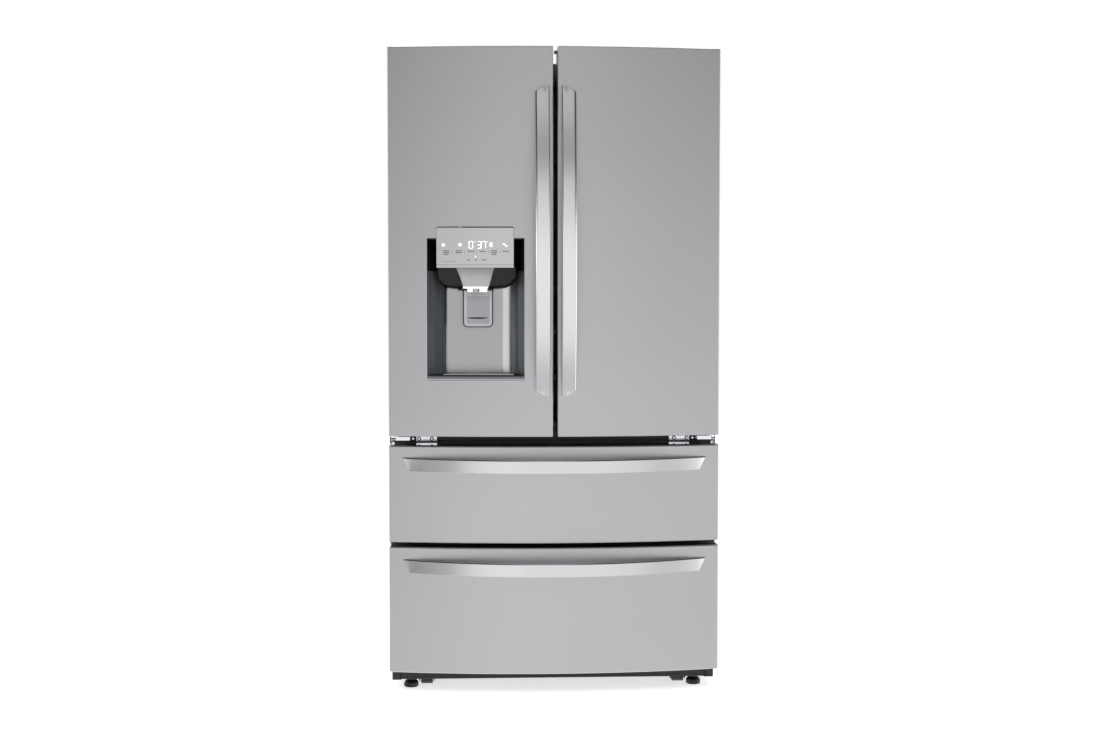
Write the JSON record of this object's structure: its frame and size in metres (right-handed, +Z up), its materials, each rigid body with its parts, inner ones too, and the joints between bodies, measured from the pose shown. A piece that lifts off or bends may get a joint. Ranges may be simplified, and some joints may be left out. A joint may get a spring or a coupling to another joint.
{
  "type": "french door refrigerator",
  "caption": "Free-standing refrigerator with two bowed upper doors, bowed freezer drawers with bar handles below, and a water and ice dispenser in the left door.",
  "frame": {"origin": "centre of the bounding box, on the floor under the feet", "axes": "+Z up, -Y towards the person who opens the doors, +X to that person's right"},
  "size_m": [0.908, 0.921, 1.776],
  "materials": {
    "outer_case": "fine textured paint",
    "rear_panel": "galvanised",
    "cabinet_insulation": "foam",
    "fresh_food_liner": "satin",
    "freezer_liner": "satin",
    "front_rails": "satin",
    "base_frame": "satin",
    "door_hinges": "zinc plated",
    "hinge_covers": "fine texture",
    "glass_shelves": "clear",
    "shelf_frames": "satin",
    "crisper_drawers": "translucent",
    "pantry_drawer": "translucent",
    "air_duct": "satin",
    "evaporator": "bare",
    "evaporator_cover": "satin",
    "evaporator_fan": "matt",
    "compressor": "gloss black",
    "condenser": "black",
    "condenser_fan": "matt",
    "machine_cover": "galvanised",
    "water_valve": "matt",
    "power_inlet": "matt",
    "drawer_guides": "zinc plated",
    "left_foot": "matt",
    "right_foot": "matt",
    "front_rollers": "matt",
    "rear_rollers": "matt",
    "left_door_skin": "fine brushed",
    "left_door_caps": "matt",
    "left_door_core": "satin, foam filled",
    "left_door_gasket": "soft",
    "left_door_handle": "satin",
    "dispenser_housing": "metallic satin",
    "control_panel": "metallic satin",
    "dispenser_outlet": "satin",
    "dispenser_paddle": "satin",
    "dispenser_tray": "satin",
    "ice_compartment": "satin",
    "ice_bin": "translucent",
    "left_door_bins": "translucent",
    "mullion_flap": "satin",
    "right_door_skin": "fine brushed",
    "right_door_caps": "matt",
    "right_door_core": "satin, foam filled",
    "right_door_gasket": "soft",
    "right_door_handle": "satin",
    "right_door_bins": "translucent",
    "upper_drawer_skin": "fine brushed",
    "upper_drawer_core": "satin, foam filled",
    "upper_drawer_gasket": "soft",
    "upper_drawer_handle": "satin",
    "upper_drawer_basket": "translucent",
    "upper_drawer_slides": "zinc plated",
    "lower_drawer_skin": "fine brushed",
    "lower_drawer_core": "satin, foam filled",
    "lower_drawer_gasket": "soft",
    "lower_drawer_handle": "satin",
    "lower_drawer_basket": "translucent",
    "lower_drawer_slides": "zinc plated"
  },
  "bodies": {
    "cabinet": {"outer_case": "outer_case", "rear_panel": "rear_panel", "cabinet_insulation": "cabinet_insulation", "fresh_food_liner": "fresh_food_liner", "freezer_liner": "freezer_liner", "front_rails": "front_rails", "base_frame": "base_frame", "door_hinges": "door_hinges", "hinge_covers": "hinge_covers", "glass_shelves": "glass_shelves", "shelf_frames": "shelf_frames", "crisper_drawers": "crisper_drawers", "pantry_drawer": "pantry_drawer", "air_duct": "air_duct", "evaporator": "evaporator", "evaporator_cover": "evaporator_cover", "compressor": "compressor", "condenser": "condenser", "machine_cover": "machine_cover", "water_valve": "water_valve", "power_inlet": "power_inlet", "drawer_guides": "drawer_guides"},
    "left_door": {"left_door_skin": "left_door_skin", "left_door_caps": "left_door_caps", "left_door_core": "left_door_core", "left_door_gasket": "left_door_gasket", "left_door_handle": "left_door_handle", "left_door_bins": "left_door_bins", "dispenser_housing": "dispenser_housing", "control_panel": "control_panel", "dispenser_outlet": "dispenser_outlet", "ice_compartment": "ice_compartment", "ice_bin": "ice_bin"},
    "right_door": {"right_door_skin": "right_door_skin", "right_door_caps": "right_door_caps", "right_door_core": "right_door_core", "right_door_gasket": "right_door_gasket", "right_door_handle": "right_door_handle", "right_door_bins": "right_door_bins"},
    "upper_drawer": {"upper_drawer_skin": "upper_drawer_skin", "upper_drawer_core": "upper_drawer_core", "upper_drawer_gasket": "upper_drawer_gasket", "upper_drawer_handle": "upper_drawer_handle", "upper_drawer_basket": "upper_drawer_basket", "upper_drawer_slides": "upper_drawer_slides"},
    "lower_drawer": {"lower_drawer_skin": "lower_drawer_skin", "lower_drawer_core": "lower_drawer_core", "lower_drawer_gasket": "lower_drawer_gasket", "lower_drawer_handle": "lower_drawer_handle", "lower_drawer_basket": "lower_drawer_basket", "lower_drawer_slides": "lower_drawer_slides"},
    "evaporator_fan": {"evaporator_fan": "evaporator_fan"},
    "condenser_fan": {"condenser_fan": "condenser_fan"},
    "left_foot": {"left_foot": "left_foot"},
    "right_foot": {"right_foot": "right_foot"},
    "front_rollers": {"front_rollers": "front_rollers"},
    "rear_rollers": {"rear_rollers": "rear_rollers"},
    "dispenser_paddle": {"dispenser_paddle": "dispenser_paddle"},
    "dispenser_tray": {"dispenser_tray": "dispenser_tray"},
    "mullion_flap": {"mullion_flap": "mullion_flap"}
  },
  "joints": [
    {"name": "left_door_hinge", "type": "hinge", "parent": "cabinet", "child": "left_door", "pos_m": [-0.434, -0.312, 1.2], "axis": [0, 0, -1], "range_deg": [0, 120]},
    {"name": "right_door_hinge", "type": "hinge", "parent": "cabinet", "child": "right_door", "pos_m": [0.434, -0.312, 1.2], "axis": [0, 0, 1], "range_deg": [0, 120]},
    {"name": "mullion_flap_hinge", "type": "hinge", "parent": "left_door", "child": "mullion_flap", "pos_m": [-0.052, -0.262, 1.23], "axis": [0, 0, 1], "range_deg": [0, 90]},
    {"name": "upper_drawer_slide", "type": "slide", "parent": "cabinet", "child": "upper_drawer", "axis": [0, -1, 0], "range_m": [0, 0.46]},
    {"name": "lower_drawer_slide", "type": "slide", "parent": "cabinet", "child": "lower_drawer", "axis": [0, -1, 0], "range_m": [0, 0.37]},
    {"name": "dispenser_paddle_hinge", "type": "hinge", "parent": "left_door", "child": "dispenser_paddle", "pos_m": [-0.215, -0.3318, 1.1148], "axis": [1, 0, 0], "range_deg": [0, 8], "stiffness_Nm_per_rad": 0.4, "springref_deg": -5.73},
    {"name": "dispenser_tray_slide", "type": "slide", "parent": "left_door", "child": "dispenser_tray", "axis": [0, -1, 0], "range_m": [0, 0.06]},
    {"name": "evaporator_fan_spin", "type": "hinge", "parent": "cabinet", "child": "evaporator_fan", "pos_m": [0, 0.335, 0.608], "axis": [0, 1, 0], "continuous": true},
    {"name": "condenser_fan_spin", "type": "hinge", "parent": "cabinet", "child": "condenser_fan", "pos_m": [-0.04, 0.34, 0.13], "axis": [1, 0, 0], "continuous": true},
    {"name": "left_foot_screw", "type": "hinge", "parent": "cabinet", "child": "left_foot", "pos_m": [-0.398, -0.246, 0.03], "axis": [0, 0, 1], "continuous": true},
    {"name": "right_foot_screw", "type": "hinge", "parent": "cabinet", "child": "right_foot", "pos_m": [0.398, -0.246, 0.03], "axis": [0, 0, 1], "continuous": true},
    {"name": "front_roller_spin", "type": "hinge", "parent": "cabinet", "child": "front_rollers", "pos_m": [0, -0.235, 0.023], "axis": [1, 0, 0], "continuous": true},
    {"name": "rear_roller_spin", "type": "hinge", "parent": "cabinet", "child": "rear_rollers", "pos_m": [0, 0.4005, 0.02], "axis": [1, 0, 0], "continuous": true}
  ],
  "couplings": [
    {"joint": "mullion_flap_hinge", "follows": "left_door_hinge", "ratio": 0.75}
  ]
}
